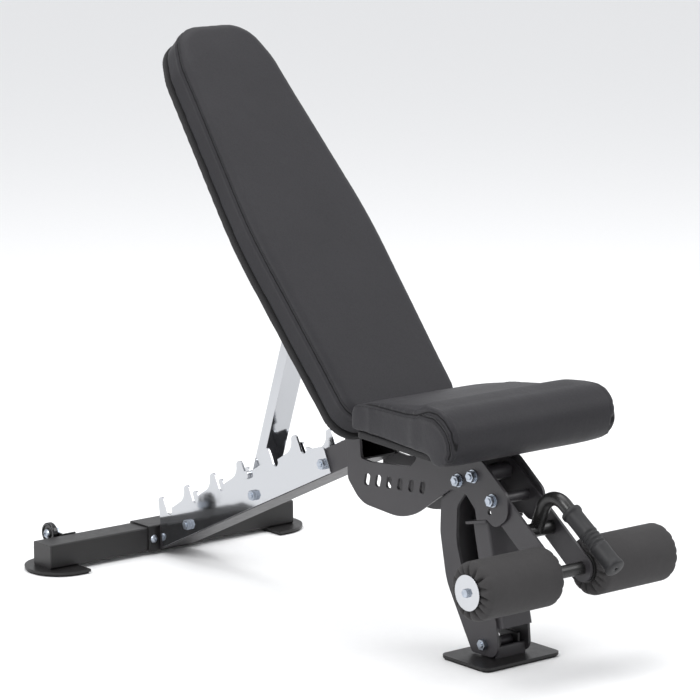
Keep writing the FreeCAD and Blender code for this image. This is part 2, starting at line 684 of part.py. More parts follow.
def back_point(a, b):
    """Bench position (x, z) of a backrest point, a towards the head and b out of the pad."""
    t = math.radians(back)
    return pivot_x - a * math.cos(t) + b * math.sin(t), pivot_z + a * math.sin(t) + b * math.cos(t)


def on_back(solid, a, y, b):
    """Moves a solid made at the origin onto the backrest and turns it with the pad."""
    x, z = back_point(a, b)
    solid.rotate(V(0, 0, 0), V(0, 1, 0), back)
    solid.translate(V(x, y, z))
    return solid


def up_screw(long):
    """Pan-head screw pointing up, seat of the head at the origin."""
    head = Part.makeCylinder(7, 4, V(0, 0, -4))
    socket = Part.makeCylinder(2.6, 3, V(0, 0, -4))
    return head.cut(socket).fuse(Part.makeCylinder(screw_r, long, V(0, 0, 0))).removeSplitter()


tab_t = size("tab_thick")
screw_r = size("screw_dia") / 2
tab_rows = (120.0, 520.0)
tab_y = rail_in + size("rail_thick")
tabs = []
screws = []
holes = []
for a in tab_rows:
    for side in (-1, 1):
        low = min(side * tab_y, side * (tab_y + 26))
        tab = Part.makeBox(34, 26, tab_t, V(-17, low, -tab_t))
        tab = tab.cut(Part.makeCylinder(screw_r, tab_t, V(0, side * (tab_y + 13), -tab_t)))
        tabs.append(on_back(tab, a, 0, face))
        screw = up_screw(tab_t + board_t - 2)
        screws.append(on_back(screw, a, side * (tab_y + 13), face - tab_t))
        holes.append(ring(-a, side * (tab_y + 13), screw_r))
group("back_mount_tabs", tabs)
group("back_screws", screws)
cut(board, holes, 100, "XY_Plane")
back_place(board, face + board_t / 2)

# ---------------------------------------------------------------- strut
t_x, t_z = back_point(strut_at, strut_drop)
b_x, b_z = on_spine(teeth[3], notch_h - size("notch_clear") + size("pin_lift"))
strut_len = math.hypot(t_x - b_x, t_z - b_z)
strut_lean = math.degrees(math.atan2(t_x - b_x, t_z - b_z))
strut = new_body("strut_tube")
sh = size("strut_thick") / 2
sw = size("strut_width") / 2
strut_side = [(-sh, -sh, sh * 0.98), (sh, -sh, sh * 0.98), (sh, strut_len + sh, sh * 0.98),
              (-sh, strut_len + sh, sh * 0.98)]
pad(strut, rounded(strut_side), "Sizes.strut_width")
inner = [(-sh + 2, -sw + 2, 2), (sh - 2, -sw + 2, 2), (sh - 2, sw - 2, 2), (-sh + 2, sw - 2, 2)]
cut(strut, rounded(inner), 2000, "XY_Plane")
pin_half = size("strut_pin_dia") / 2
cut(strut, [ring(0, 0, pin_half), ring(0, strut_len, hole_r)])
place(strut, b_x, 0, b_z, strut_lean)
pin_reach = spine_half + size("ladder_thick") + 6
group("strut_pin", [rod(b_x, b_z, -pin_reach, pin_reach, pin_half)])
rail_out = rail_in + size("rail_thick")
strut_bolt = through_bolt(t_x, t_z, rail_out, 9.0, 5.0, 16, False, bolt_r)
group("strut_pivot_bolt", [strut_bolt])

# ---------------------------------------------------------------- seat
under = size("seat_under_z")
foot_round = 17.0
foot_swing = math.hypot(foot_end - foot_round, face + board_t + 0.3 + pad_t - foot_round) + foot_round
seat_back = max(size("seat_back_x"), pivot_x + foot_swing + 5)
seat_front = size("seat_front_x")
board_top = under + board_t
roll = 49.0
seat_board = new_body("seat_board")
long_board = seat_front - seat_back - 86
half_rear = size("seat_back_half") - 8
half_fore = half_rear + (size("seat_front_half") - size("seat_back_half")) * 0.7
pad(seat_board, rounded([(0, -half_rear, 20), (long_board, -half_fore, 12), (long_board, half_fore, 12),
                         (0, half_rear, 20)]), "Sizes.board_thick", "XY_Plane")
place(seat_board, seat_back + 8, 0, under + board_t / 2)
seat_pad = new_body("seat_pad")
seat_side = [(seat_back, board_top + 0.3, 3), (seat_front - 76, board_top + 0.3, 0), (seat_front - 76, under - 2, 16),
             (seat_front, under - 2, roll), (seat_front, under - 2 + 2 * roll, roll), (seat_front - 2 * roll, under - 2 + 2 * roll, 40),
             (seat_front - 2 * roll - 20, under + 80, 60), (seat_back, under + 57, 15)]
pad(seat_pad, rounded(seat_side), "2 * Sizes.seat_front_half")
rear_h = size("seat_back_half")
fore_h = size("seat_front_half")
for side in (-1, 1):
    cut(seat_pad, rounded([(seat_back - 30, side * (rear_h - 4), 0), (seat_back + 60, side * (rear_h + 2), 200),
                           (seat_front - 108, side * fore_h, 40), (seat_front - 100, side * 260, 0),
                           (seat_back - 30, side * 260, 0)]), 1200, "XY_Plane")
place(seat_pad)

rod_r = size("seat_rod_dia") / 2
bracket = [(seat_px - 60, under, 3), (seat_px + 150, under, 3), (seat_px + 150, under - 12, 6),
           (seat_px + 30, under - 20, 10), (seat_px + 16, seat_pz - 15, 14), (seat_px - 16, seat_pz - 15, 14),
           (seat_px - 60, under - 14, 6)]
bracket_y = inner_y + 2.0
plate("seat_bracket_near", bracket, [(seat_px, seat_pz, rod_r)], "Sizes.ladder_thick", -bracket_y)
plate("seat_bracket_far", bracket, [(seat_px, seat_pz, rod_r)], "Sizes.ladder_thick", bracket_y)
tabs = []
screws = []
holes = []
tab_in = inner_y - 24
for x in (seat_px - 34, seat_px + 132):
    for side in (-1, 1):
        tab = Part.makeBox(30, 24, tab_t, V(x - 15, min(side * tab_in, side * inner_y), under - tab_t))
        spot = side * (tab_in + 11)
        tabs.append(tab.cut(Part.makeCylinder(screw_r, tab_t, V(x, spot, under - tab_t))))
        screw = up_screw(tab_t + board_t - 2)
        screw.translate(V(x, spot, under - tab_t))
        screws.append(screw)
        holes.append(ring(x - seat_back - 8, spot, screw_r))
group("seat_mount_tabs", tabs)
group("seat_screws", screws)
cut(seat_board, holes, 100, "XY_Plane")
place(seat_board, seat_back + 8, 0, under + board_t / 2)
seat_rod = rod(seat_px, seat_pz, -outside - 6, outside + 6, rod_r)
for side in (-1, 1):
    seat_rod = seat_rod.fuse(rod(seat_px, seat_pz, side * (outside + 1), side * (outside + 6), 10))
group("seat_rod", [seat_rod.removeSplitter()])

# ---------------------------------------------------------------- middle of the bench at X = 0, then write every node
doc.recompute()
boxes = [made.Shape.optimalBoundingBox(True, False) for made in nodes]
middle_x = round((min(box.XMin for box in boxes) + max(box.XMax for box in boxes)) / 2, 1)
for made in nodes:
    made.Placement.Base.x -= middle_x
doc.recompute()
print("rear tube at X =", -middle_x)
os.makedirs("parts", exist_ok=True)
for made in nodes:
    if "Invalid" in made.State or "Error" in made.State or made.Shape.isNull() or not made.Shape.isValid():
        raise RuntimeError("bad shape: " + made.Label)
    made.Shape.exportStep("parts/" + made.Label + ".step")
print(len(nodes), "nodes written")
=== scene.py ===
# %% [markdown]
# # An adjustable weight bench
# The steel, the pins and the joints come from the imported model, which is the fixed frame of this scene.
# Here the bench gets its upholstery, its foam rollers, its rubber grip and the finish of every surface.

# %% Load the frame
import json
import math

import bmesh
import bpy
import numpy as np
from mathutils import Matrix, Vector


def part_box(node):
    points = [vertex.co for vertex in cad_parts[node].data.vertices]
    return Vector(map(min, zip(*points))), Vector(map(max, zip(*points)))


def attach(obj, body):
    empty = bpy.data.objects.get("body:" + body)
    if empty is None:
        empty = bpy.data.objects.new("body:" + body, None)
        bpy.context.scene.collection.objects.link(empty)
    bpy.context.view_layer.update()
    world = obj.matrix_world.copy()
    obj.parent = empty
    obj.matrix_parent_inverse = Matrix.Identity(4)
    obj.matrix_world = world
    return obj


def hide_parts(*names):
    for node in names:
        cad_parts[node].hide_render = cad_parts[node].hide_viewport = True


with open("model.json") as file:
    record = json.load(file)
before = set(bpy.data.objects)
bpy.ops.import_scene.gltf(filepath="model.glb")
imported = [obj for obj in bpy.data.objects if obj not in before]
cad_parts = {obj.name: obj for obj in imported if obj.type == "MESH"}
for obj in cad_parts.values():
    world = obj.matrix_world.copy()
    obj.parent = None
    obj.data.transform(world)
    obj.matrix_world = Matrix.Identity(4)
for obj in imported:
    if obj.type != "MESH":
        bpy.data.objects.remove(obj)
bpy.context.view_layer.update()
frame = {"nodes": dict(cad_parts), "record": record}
nodes = frame["nodes"]

# %% [markdown]
# ## Camera
# A long lens from a little above seat height keeps the long bench from looking stretched: the far
# foot and the near foot come out at nearly the same scale. The camera stands to the front and the near side.

# %% Camera
VIEW_TURN = math.radians(50.91)
VIEW_RISE = math.radians(11.09)
VIEW_DISTANCE = 5.970
VIEW_TARGET = Vector((-0.0277, 0, 0.4724))
LENS_MM = 173.3

towards = Vector((math.sin(VIEW_TURN) * math.cos(VIEW_RISE),
                  -math.cos(VIEW_TURN) * math.cos(VIEW_RISE),
                  math.sin(VIEW_RISE)))
camera_data = bpy.data.cameras.new("camera")
camera_data.sensor_width = 36
camera_data.lens = LENS_MM
camera = bpy.data.objects.new("camera", camera_data)
camera.location = VIEW_TARGET + towards * VIEW_DISTANCE
camera.rotation_euler = (-towards).to_track_quat("-Z", "Y").to_euler()
bpy.context.scene.collection.objects.link(camera)
bpy.context.scene.camera = camera
print("camera at", [round(c, 3) for c in camera.location])

# %% [markdown]
# ## Studio
# A product studio is pale paper and a few large soft lamps. The chrome shows the room more
# than itself, so its plates pick up the paper, the lamps and the dark frame beside them.

# %% Floor, world and lamps
FLOOR_HALF = 30


def stage_floor():
    """A flat pale floor, wide enough to fill the view behind the bench."""
    mesh = bmesh.new()
    bmesh.ops.create_grid(mesh, x_segments=1, y_segments=1, size=FLOOR_HALF)
    data = bpy.data.meshes.new("floor")
    mesh.to_mesh(data)
    mesh.free()
    floor = bpy.data.objects.new("floor", data)
    bpy.context.scene.collection.objects.link(floor)
    return floor


floor = stage_floor()


def soft_lamp(name, place, aim, size, watts):
    """A square area lamp that looks at a point."""
    data = bpy.data.lights.new(name, "AREA")
    data.size = size
    data.energy = watts
    lamp = bpy.data.objects.new(name, data)
    lamp.location = place
    lamp.rotation_euler = (Vector(aim) - Vector(place)).to_track_quat("-Z", "Y").to_euler()
    bpy.context.scene.collection.objects.link(lamp)
    return lamp


soft_lamp("key_lamp", (0.6, -3.6, 3.4), (0, 0, 0.4), 2.2, 105)
soft_lamp("far_lamp", (2.6, 2.6, 3.2), (0, 0, 0.5), 2.4, 60)
soft_lamp("top_lamp", (-0.6, 0.2, 4.0), (0, 0, 0.4), 3.0, 80)
# The plain transform keeps the paper as white as it is lit and the black paint black.
bpy.context.scene.view_settings.view_transform = "Standard"

# %% [markdown]
# ## Writing finishes as sums
# A finish is a graph of shader nodes. It reads better as arithmetic, so a small class stands for one
# socket and turns +, - and * into Math nodes. Another small class holds the material itself.

# %% Shader helpers
class Reading:
    """A socket that carries a number over the surface."""

    def __init__(self, finish, socket):
        self.finish = finish
        self.socket = socket

    def math(self, operation, other=0.0, swapped=False, clamp=False):
        """One Math node on this reading and another value."""
        pair = (other, self) if swapped else (self, other)
        return self.finish.add("ShaderNodeMath", {"operation": operation, "use_clamp": clamp},
                               {0: pair[0], 1: pair[1]}).out(0)

    def __add__(self, other):
        return self.math("ADD", other)

    __radd__ = __add__

    def __mul__(self, other):
        return self.math("MULTIPLY", other)

    __rmul__ = __mul__

    def __sub__(self, other):
        return self.math("SUBTRACT", other)

    def __rsub__(self, other):
        return self.math("SUBTRACT", other, swapped=True)

    def band(self, low, high):
        """0 below low, 1 above high, smooth between."""
        return self.finish.add("ShaderNodeMapRange", {"interpolation_type": "SMOOTHSTEP"},
                               {0: self, 1: low, 2: high, 3: 0.0, 4: 1.0}).out(0)


class Added:
    """A node that was added to a finish."""

    def __init__(self, finish, node):
        self.finish = finish
        self.node = node

    def out(self, which=0):
        """A reading of one of the node's outputs."""
        return Reading(self.finish, self.node.outputs[which])


class Finish:
    """A material on the Principled shader."""

    def __init__(self, name, base, roughness=0.5, metallic=0.0, **constants):
        self.material = bpy.data.materials.new(name)
        self.material.use_nodes = True
        self.tree = self.material.node_tree
        self.shader = self.tree.nodes["Principled BSDF"]
        self.set("Base Color", (*base, 1.0))
        self.set("Roughness", roughness)
        self.set("Metallic", metallic)
        for socket, value in constants.items():
            self.set(socket.replace("_", " "), value)
        self.place = self.add("ShaderNodeTexCoord").out("Object")

    def add(self, kind, settings=None, inputs=None):
        """Any node: its type, its settings, then the values or links of its sockets."""
        node = self.tree.nodes.new(kind)
        for key, value in (settings or {}).items():
            if key == "stops":
                ramp = node.color_ramp
                while len(ramp.elements) < len(value):
                    ramp.elements.new(0.5)
                for stop, (position, colour) in zip(ramp.elements, value):
                    stop.position = position
                    stop.color = (*colour, 1.0)
            else:
                setattr(node, key, value)
        for key, value in (inputs or {}).items():
            self.feed(node.inputs[key], value)
        return Added(self, node)

    def feed(self, socket, value):
        """Links a reading to a socket, or writes a constant in it."""
        if isinstance(value, Reading):
            self.tree.links.new(value.socket, socket)
        else:
            socket.default_value = value

    def set(self, socket, value):
        """Feeds a socket of the shader."""
        self.feed(self.shader.inputs[socket], value)

    def noise(self, scale, detail=2.0, rough=0.5, where=None):
        """Cloudy noise; scale counts features per metre."""
        return self.add("ShaderNodeTexNoise", {}, {"Vector": where or self.place, "Scale": scale,
                                                   "Detail": detail, "Roughness": rough}).out("Fac")

    def cells(self, scale, feature="F1"):
        """Distance to scattered points."""
        return self.add("ShaderNodeTexVoronoi", {"feature": feature},
                        {"Vector": self.place, "Scale": scale}).out("Distance")

    def colours(self, reading, *stops):
        """A colour ramp read by a number."""
        return self.add("ShaderNodeValToRGB", {"stops": stops}, {0: reading}).out("Color")

    def mixed(self, amount, first, second):
        """A colour between two colours or readings."""
        return self.add("ShaderNodeMix", {"data_type": "RGBA"},
                        {"Factor": amount, 6: self.tinted(first), 7: self.tinted(second)}).out(2)

    def tinted(self, value):
        """A plain colour gets its alpha; a reading passes through."""
        return value if isinstance(value, Reading) else (*value, 1.0)

    def bump(self, height, depth, under=None):
        """A Bump node; depth is the height of 1.0 in metres."""
        inputs = {"Height": height, "Distance": depth, "Strength": 1.0}
        if under is not None:
            inputs["Normal"] = under
        return self.add("ShaderNodeBump", {}, inputs).out("Normal")

    def soft_edge(self, radius):
        """Normals as if the edges were rounded."""
        return self.add("ShaderNodeBevel", {"samples": 4}, {"Radius": radius}).out("Normal")


def shade(colour, by):
    """A colour made lighter or darker."""
    return tuple(min(1.0, c * by) for c in colour)


print("helpers ready")

# %% [markdown]
# ## Painted steel
# The frame is powder-coated: the baked powder leaves a very fine orange-peel skin, so the gloss breaks
# up on a scale of about a millimetre. A second, slower noise gives the slight patchiness of handled
# steel. The base parts are a deeper satin black than the charcoal plates.

# %% Powder coat
def powder_coat(name, colour, gloss, grain=1400, depth=0.00006, round_edge=0.0012):
    """Baked powder paint; gloss is its middle roughness."""
    finish = Finish(name, colour, gloss, Specular_IOR_Level=0.45)
    patches = finish.noise(9, 3)
    handled = finish.noise(60, 4, 0.65)
    speck = finish.noise(grain, 2)
    finish.set("Base Color", finish.colours(patches * 0.6 + handled * 0.4,
                                            (0.30, shade(colour, 0.86)), (0.72, shade(colour, 1.16))))
    finish.set("Roughness", (handled - 0.5) * 0.22 + gloss)
    finish.set("Normal", finish.bump(speck, depth, finish.soft_edge(round_edge)))
    return finish.material


base_paint = powder_coat("base_paint", (0.0085, 0.0078, 0.0080), 0.42)
cap_paint = powder_coat("cap_paint", (0.016, 0.015, 0.0155), 0.36)
frame_paint = powder_coat("frame_paint", (0.0300, 0.0280, 0.0310), 0.42)
handle_paint = powder_coat("handle_paint", (0.010, 0.0097, 0.0097), 0.30, depth=0.00003)
print("paints:", base_paint.name, frame_paint.name, handle_paint.name)

# %% [markdown]
# ## Plated steel
# The ladder plates and the strut are bright chrome: nearly a mirror, with faint wiping marks that only
# show in the roughness, and a very shallow waviness left by the polishing wheel. The bolts are duller
# zinc with a cold tint.

# %% Chrome and zinc
def bright_chrome(name, tone, gloss, ripple):
    """Polished plating with wiping marks."""
    finish = Finish(name, tone, gloss, 1.0)
    stretched = finish.add("ShaderNodeMapping", {}, {"Vector": finish.place, "Scale": (1.0, 1.0, 14.0)}).out("Vector")
    wipes = finish.noise(22, 4, 0.6, where=stretched)
    prints = finish.noise(34, 3, 0.5).band(0.58, 0.74)
    finish.set("Roughness", wipes * 0.07 + prints * 0.05 + gloss)
    wave = finish.noise(16, 1)
    finish.set("Normal", finish.bump(wave, ripple, finish.soft_edge(0.0008)))
    return finish.material


def zinc_plate(name, tone, gloss):
    """Zinc plating: duller, cold, slightly crystalline."""
    finish = Finish(name, tone, gloss, 1.0)
    grain = finish.cells(900)
    cloud = finish.noise(120, 3)
    finish.set("Base Color", finish.colours(cloud, (0.3, shade(tone, 0.82)), (0.7, shade(tone, 1.12))))
    finish.set("Roughness", cloud * 0.16 + grain * 0.10 + gloss)
    finish.set("Normal", finish.bump(grain, 0.00003, finish.soft_edge(0.0007)))
    return finish.material


ladder_chrome = bright_chrome("ladder_chrome", (0.50, 0.51, 0.53), 0.05, 0.0004)
zinc = zinc_plate("zinc", (0.42, 0.46, 0.52), 0.20)
print("platings:", ladder_chrome.name, zinc.name)

# %% [markdown]
# ## Vinyl
# Upholstery vinyl is pressed with a leather grain of small rounded pebbles. Here two layers of scattered
# cells make pebbles of about one and two and a half millimetres, and a slow noise makes the soft
# uneven tightness of a stretched skin. It has a weak sheen at glancing angles.

# %% Vinyl and cloth
def vinyl_skin(name, colour):
    """The part that both vinyls share: the finish, its pebbles, its colour, its roughness and its slack."""
    finish = Finish(name, colour, 0.5, Specular_IOR_Level=0.17, Sheen_Weight=0.02, Sheen_Roughness=0.45)
    pebbles = finish.cells(950, "SMOOTH_F1") * 0.6 + finish.cells(420, "SMOOTH_F1") * 0.4
    tight = finish.noise(7, 3)
    plain = finish.colours(pebbles + (tight - 0.5) * 0.5, (0.05, shade(colour, 1.12)), (0.75, shade(colour, 0.80)))
    rough = pebbles * 0.14 + (tight - 0.5) * 0.10
    slack = finish.bump(finish.noise(26, 3), 0.0012)
    return finish, pebbles, plain, rough, slack


def grained_vinyl(name, colour):
    """Pebble-grained upholstery vinyl."""
    finish, pebbles, plain, rough, slack = vinyl_skin(name, colour)
    finish.set("Base Color", plain)
    finish.set("Roughness", rough + 0.46)
    finish.set("Normal", finish.bump(1 - pebbles, 0.00020, slack))
    return finish.material


def backing_cloth(name, colour):
    """Thin non-woven cloth stapled over the boards."""
    finish = Finish(name, colour, 0.86, Specular_IOR_Level=0.2, Sheen_Weight=0.04)
    wave_a = finish.add("ShaderNodeTexWave", {"bands_direction": "DIAGONAL"},
                        {"Vector": finish.place, "Scale": 260.0, "Distortion": 2.5, "Detail": 2.0}).out("Fac")
    fibre = finish.noise(1500, 3, 0.7)
    finish.set("Base Color", finish.colours(fibre * 0.7 + wave_a * 0.3,
                                            (0.3, shade(colour, 0.75)), (0.7, shade(colour, 1.3))))
    finish.set("Normal", finish.bump(fibre * 0.5 + wave_a * 0.5, 0.00035))
    return finish.material


vinyl = grained_vinyl("vinyl", (0.0225, 0.0217, 0.0245))
cloth = backing_cloth("cloth", (0.022, 0.0215, 0.0225))
print("soft finishes:", vinyl.name, cloth.name)

# %% [markdown]
# ## Foam, rubber and plastic
# The rollers are closed-cell foam with a skin: matt, finely pitted, a little lighter where it is rubbed.
# The grip and the floor pads are plain rubber. The wheels are glossy moulded plastic.

# %% Foam, rubber and plastic
def pitted_foam(name, colour):
    """Skinned closed-cell foam."""
    finish = Finish(name, colour, 0.78, Specular_IOR_Level=0.22, Sheen_Weight=0.03)
    pits = finish.cells(1100)
    rub = finish.noise(30, 4, 0.6)
    finish.set("Base Color", finish.colours(rub * 0.7 + pits * 0.5,
                                            (0.3, shade(colour, 0.88)), (0.8, shade(colour, 1.16))))
    finish.set("Roughness", (rub - 0.5) * 0.16 + 0.76)
    dents = finish.bump(finish.noise(45, 3), 0.0010)
    finish.set("Normal", finish.bump(pits, 0.00022, dents))
    return finish.material


def matt_rubber(name, colour, gloss=0.62):
    """Moulded rubber with a dusting of wear."""
    finish = Finish(name, colour, gloss, Specular_IOR_Level=0.35)
    dust = finish.noise(70, 4, 0.7)
    finish.set("Base Color", finish.colours(dust, (0.35, colour), (0.85, shade(colour, 1.6))))
    finish.set("Roughness", (dust - 0.5) * 0.2 + gloss)
    finish.set("Normal", finish.bump(finish.noise(1800, 2), 0.00008, finish.soft_edge(0.001)))
    return finish.material


def moulded_plastic(name, colour, gloss):
    """Injection-moulded plastic."""
    finish = Finish(name, colour, gloss)
    flow = finish.noise(50, 2)
    finish.set("Base Color", finish.colours(flow, (0.3, shade(colour, 0.9)), (0.8, shade(colour, 1.15))))
    finish.set("Roughness", (flow - 0.5) * 0.1 + gloss)
    finish.set("Normal", finish.bump(finish.noise(500, 2), 0.00003, finish.soft_edge(0.0006)))
    return finish.material


foam = pitted_foam("foam", (0.0340, 0.0325, 0.0330))
grip_rubber = matt_rubber("grip_rubber", (0.0095, 0.0095, 0.0105), 0.5)
foot_rubber = matt_rubber("foot_rubber", (0.007, 0.007, 0.007), 0.75)
wheel_plastic = moulded_plastic("wheel_plastic", (0.006, 0.006, 0.0068), 0.14)
core_plastic = moulded_plastic("core_plastic", (0.015, 0.015, 0.016), 0.45)
print("mouldings:", foam.name, grip_rubber.name, wheel_plastic.name)

# %% [markdown]
# ## Studio paper
# The floor is matt paper, nearly white, with hardly any texture of its own.

# %% Floor finish and world
def studio_paper():
    """Matt pale paper."""
    finish = Finish("studio_paper", (0.86, 0.86, 0.86), 0.9)
    fibre = finish.noise(60, 3)
    finish.set("Base Color", finish.colours(fibre, (0.0, (0.85, 0.85, 0.85)), (1.0, (0.88, 0.88, 0.88))))
    return finish.material


floor.data.materials.append(studio_paper())
world = bpy.data.worlds.new("studio")
bpy.context.scene.world = world
world.use_nodes = True
world.node_tree.nodes["Background"].inputs["Color"].default_value = (0.93, 0.94, 0.96, 1)
world.node_tree.nodes["Background"].inputs["Strength"].default_value = 0.95
print("world:", world.name)

# %% [markdown]
# ## Putting the finishes on the steel
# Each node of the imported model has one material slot. The record names a slot for every node, so one
# table from slot to finish dresses the whole frame.

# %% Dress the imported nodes
FINISH_OF_SLOT = {
    "base_paint": base_paint, "cap_paint": cap_paint, "frame_paint": frame_paint, "handle_paint": handle_paint,
    "chrome_plate": ladder_chrome, "zinc": zinc, "vinyl": vinyl, "plywood": cloth,
    "foam": foam, "grip_rubber": grip_rubber, "foot_rubber": foot_rubber, "wheel_plastic": wheel_plastic,
    "core_plastic": core_plastic,
}
for part in frame["record"]["subparts"]:
    piece = nodes[part["node"]]
    for slot in piece.material_slots:
        slot.material = FINISH_OF_SLOT[part["material_slot"]]
print("dressed:", len(nodes))

# %% [markdown]
# ## How a pad is made
# The real pad is foam glued on a plywood board, with vinyl pulled over it and stapled behind. Along each
# side a separate strip is sewn to the face, so a seam runs round the pad a little inside its edge.
#
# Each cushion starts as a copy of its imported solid, a little smaller. It is remeshed to an even grid,
# swollen by Cloth with pressure, and capped so that no point strays far. The seam is pressed in
# afterwards, because a remesh would wipe it out: points near the seam line sink, and the skin beside it
# stands proud, as it does on sewn foam. The stitches and the seam's shadow are drawn by an attribute.

# %% Cushion helpers
def merged_copy(node, name):
    """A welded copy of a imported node."""
    data = nodes[node].data.copy()
    mesh = bmesh.new()
    mesh.from_mesh(data)
    bmesh.ops.remove_doubles(mesh, verts=mesh.verts, dist=0.00002)
    bmesh.ops.recalc_face_normals(mesh, faces=mesh.faces)
    mesh.to_mesh(data)
    mesh.free()
    data.materials.clear()
    piece = bpy.data.objects.new(name, data)
    bpy.context.scene.collection.objects.link(piece)
    return piece


def bake_modifiers(piece):
    """Replaces the mesh with what its modifiers make, and removes them."""
    graph = bpy.context.evaluated_depsgraph_get()
    made = bpy.data.meshes.new_from_object(piece.evaluated_get(graph))
    old = piece.data
    piece.modifiers.clear()
    piece.data = made
    bpy.data.meshes.remove(old)
    return piece


def points_of(piece):
    """All vertex positions as an array."""
    flat = np.empty(len(piece.data.vertices) * 3, dtype=np.float32)
    piece.data.vertices.foreach_get("co", flat)
    return flat.reshape(-1, 3).astype(np.float64)


def set_points(piece, places):
    """Writes all vertex positions."""
    piece.data.vertices.foreach_set("co", places.astype(np.float32).ravel())
    piece.data.update()


def normals_of(piece):
    """All vertex normals as an array."""
    flat = np.empty(len(piece.data.vertices) * 3, dtype=np.float32)
    piece.data.vertices.foreach_get("normal", flat)
    return flat.reshape(-1, 3).astype(np.float64)


def eased(piece, values, rounds):
    """Averages a vector per point with its neighbours again and again."""
    ends = np.empty(len(piece.data.edges) * 2, dtype=np.int32)
    piece.data.edges.foreach_get("vertices", ends)
    first, second = ends.reshape(-1, 2).T
    count = len(values)
    links = np.maximum(np.bincount(ends, minlength=count), 1)
    for _ in range(rounds):
        for axis in range(3):
            column = values[:, axis]
            total = np.bincount(first, column[second], count) + np.bincount(second, column[first], count)
            values[:, axis] = column * 0.4 + total / links * 0.6
    return values


SWELL_STEPS = 20
SWELL_PRESSURE = 4.0
SWELL_START = 0.0015
SWELL_LIMIT = 0.0035


def swell(piece, grid, rubs=0):
    """Remeshes a pad, rubs its edges soft, starts it smaller, and swells it with cloth pressure."""
    remesh = piece.modifiers.new("even", "REMESH")
    remesh.mode = "VOXEL"
    remesh.voxel_size = grid
    bake_modifiers(piece)
    start = eased(piece, points_of(piece), rubs)
    set_points(piece, start)
    start = start - normals_of(piece) * SWELL_START
    set_points(piece, start)
    cloth = piece.modifiers.new("skin", "CLOTH")
    cloth.settings.use_pressure = True
    cloth.settings.uniform_pressure_force = SWELL_PRESSURE
    cloth.settings.effector_weights.gravity = 0
    cloth.settings.quality = 4
    cloth.settings.tension_stiffness = 25
    cloth.settings.compression_stiffness = 25
    cloth.settings.bending_stiffness = 4
    cloth.collision_settings.use_self_collision = False
    scene = bpy.context.scene
    for step in range(1, SWELL_STEPS + 1):
        scene.frame_set(step)
    bake_modifiers(piece)
    scene.frame_set(1)
    moved = points_of(piece) - start
    length = np.linalg.norm(moved, axis=1)
    moved *= np.minimum(1.0, SWELL_LIMIT / np.maximum(length, 1e-9))[:, None]
    # A broad billow carries nearly all of the swelling; a trace of the finer wrinkles is kept.
    billow = eased(piece, moved.copy(), 60)
    set_points(piece, start + billow * 0.9 + (eased(piece, moved, 6) - billow) * 0.12)


def groove(distance, width, depth, shoulder):
    """Profile of a sewn seam: a sink at the line with a low roll on both sides."""
    sink = -depth * np.exp(-(distance / width) ** 2)
    roll = shoulder * np.exp(-((np.abs(distance) - 2.6 * width) / (1.5 * width)) ** 2)
    return sink + roll


def store(piece, name, values):
    """Keeps one number per vertex for a finish to read."""
    layer = piece.data.attributes.new(name, "FLOAT", "POINT")
    layer.data.foreach_set("value", values.astype(np.float32))


def refined(piece):
    """Splits every face once, smoothly."""
    finer = piece.modifiers.new("finer", "SUBSURF")
    finer.levels = finer.render_levels = 1
    return bake_modifiers(piece)


def padded_cushion(piece, node, body, beside, along, back_turn=None):
    store(piece, "seam", np.clip(beside, -0.05, 0.05))
    store(piece, "run", along)
    if back_turn is not None:
        piece.data.transform(back_turn)
    piece.data.materials.append(seam_vinyl)
    piece.data.shade_smooth()
    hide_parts(node)
    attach(piece, body)


print("cushion helpers ready")

# %% [markdown]
# ## Working square to the backrest
# The backrest leans, so its pieces are easier to make lying flat: X towards the seat, Y across, Z out of
# the pad, with the hinge at the origin. One matrix carries points between that frame and the bench, and
# every finished piece is carried back, so its object stays at the world origin.

# %% The backrest's own frame
BACK_LEAN = math.radians(48.0)
hinge_joint = next(joint for joint in frame["record"]["behaviour"]["joints"] if joint["name"] == "back_pivot")
hinge_at = Vector(hinge_joint["pos_m"])
lying = Matrix.Translation(hinge_at) @ Matrix.Rotation(BACK_LEAN, 4, "Y")
standing = lying.inverted()
print("hinge at", [round(c, 4) for c in hinge_at])


def from_ring(node, name, turn, at, low, high, round_low, round_high):
    """Cuts a node's outline at one height, and raises it again as a slab with the edges asked for."""
    piece = merged_copy(node, name)
    mesh = bmesh.new()
    mesh.from_mesh(piece.data)
    bmesh.ops.transform(mesh, matrix=turn, verts=mesh.verts)
    bmesh.ops.bisect_plane(mesh, geom=mesh.verts[:] + mesh.edges[:] + mesh.faces[:], dist=0.00001,
                           plane_co=(0, 0, at), plane_no=(0, 0, 1), clear_inner=True, clear_outer=True)
    bmesh.ops.dissolve_degenerate(mesh, dist=0.0004, edges=mesh.edges)
    face = bmesh.ops.contextual_create(mesh, geom=mesh.edges)["faces"]
    bmesh.ops.translate(mesh, verts=mesh.verts, vec=(0, 0, low - at))
    raised = bmesh.ops.extrude_face_region(mesh, geom=face)["geom"]
    bmesh.ops.translate(mesh, verts=[g for g in raised if isinstance(g, bmesh.types.BMVert)],
                        vec=(0, 0, high - low))
    bmesh.ops.recalc_face_normals(mesh, faces=mesh.faces)
    for height, radius in ((low, round_low), (high, round_high)):
        rim = [e for e in mesh.edges if all(abs(v.co.z - height) < 1e-5 for v in e.verts)]
        bmesh.ops.bevel(mesh, geom=rim, offset=radius, offset_type="OFFSET", segments=5, profile=0.5,
                        affect="EDGES", material=-1, clamp_overlap=True)
    mesh.to_mesh(piece.data)
    mesh.free()
    return piece


